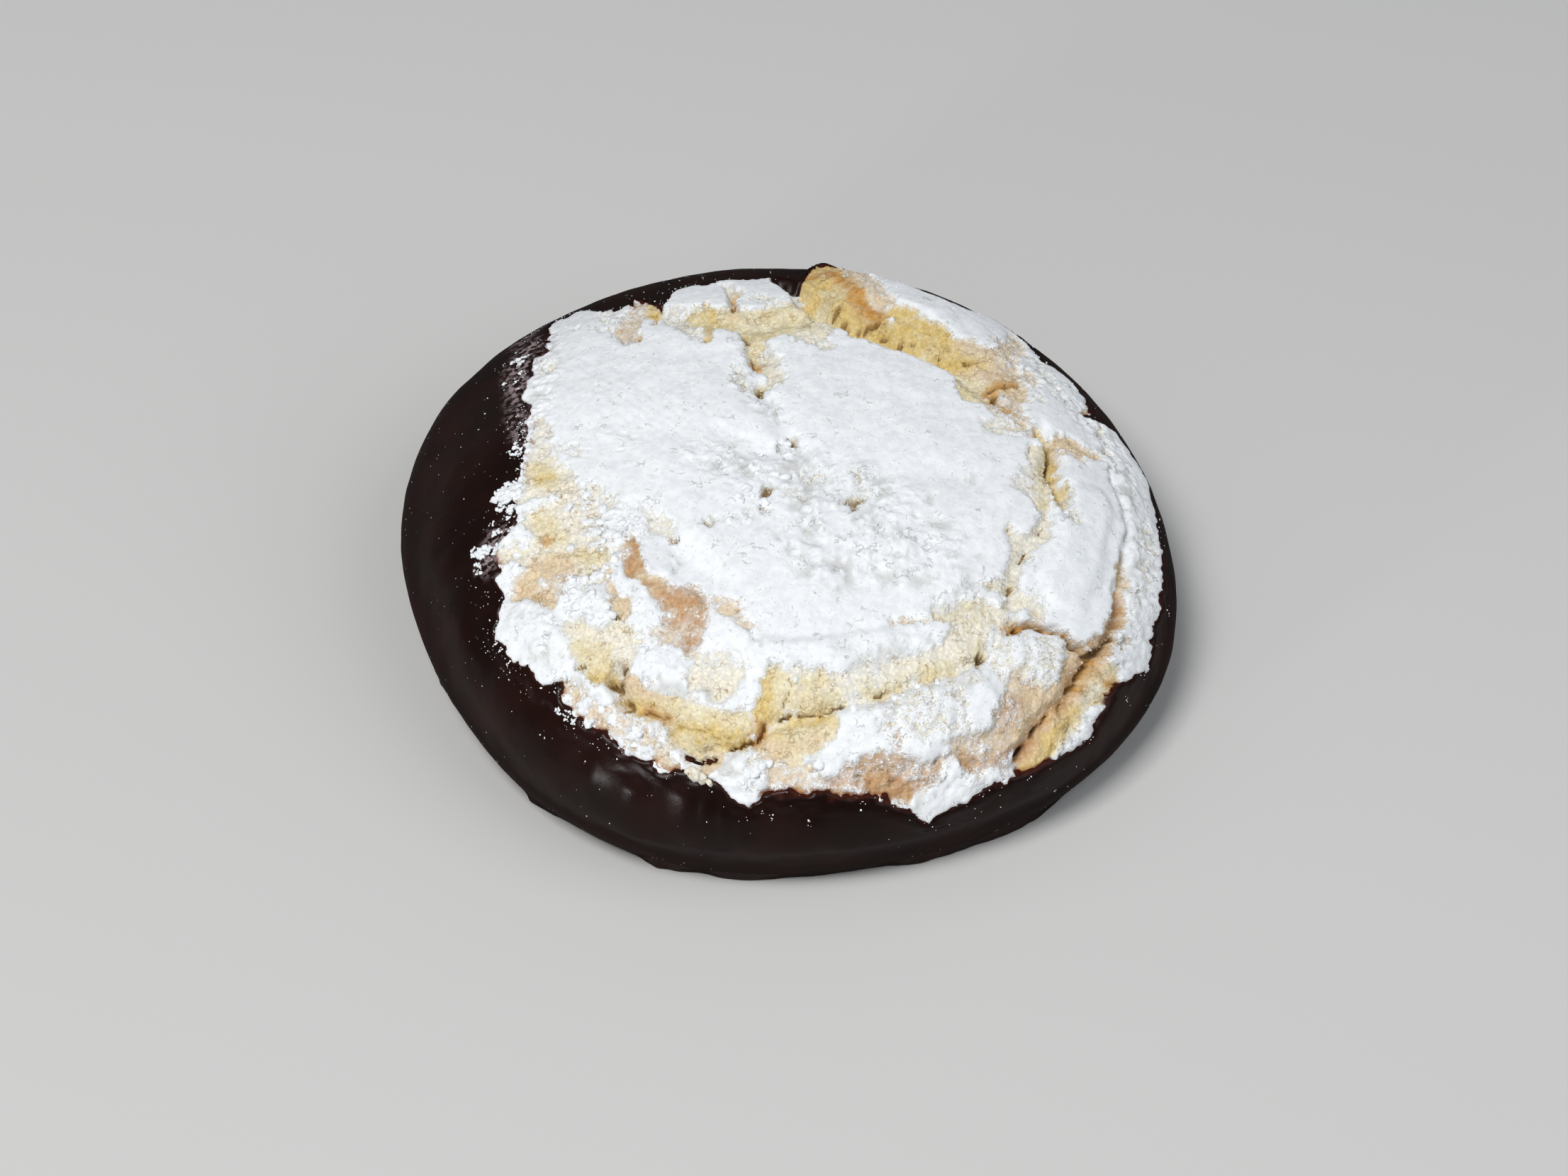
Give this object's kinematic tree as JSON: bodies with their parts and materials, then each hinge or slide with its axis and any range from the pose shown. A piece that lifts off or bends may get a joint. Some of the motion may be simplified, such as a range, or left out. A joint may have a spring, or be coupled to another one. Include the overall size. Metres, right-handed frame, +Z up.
{
  "type": "amaretti cookie",
  "caption": "Soft almond amaretto with a cracked icing sugar crust, its base and sides dipped in dark chocolate that spreads into a thin foot.",
  "frame": {"origin": "middle of the whole's box, at the level of the flat underside", "axes": "+Z up; +Y towards the back, where the widest crack leaves a raised shelf; the picture looks along +Y from the front and above"},
  "size_m": [0.061, 0.0616, 0.018],
  "materials": {
    "biscuit_crumb": "matt, grainy almond crumb, pale yellow in the cracks and tan where it is toasted",
    "icing_sugar": "matt, powdery white crust, finely pitted",
    "dark_chocolate": "satin dark chocolate with a faint bloom"
  },
  "bodies": {
    "root": {"biscuit": "biscuit_crumb", "chocolate_coat": "dark_chocolate"}
  },
  "joints": []
}
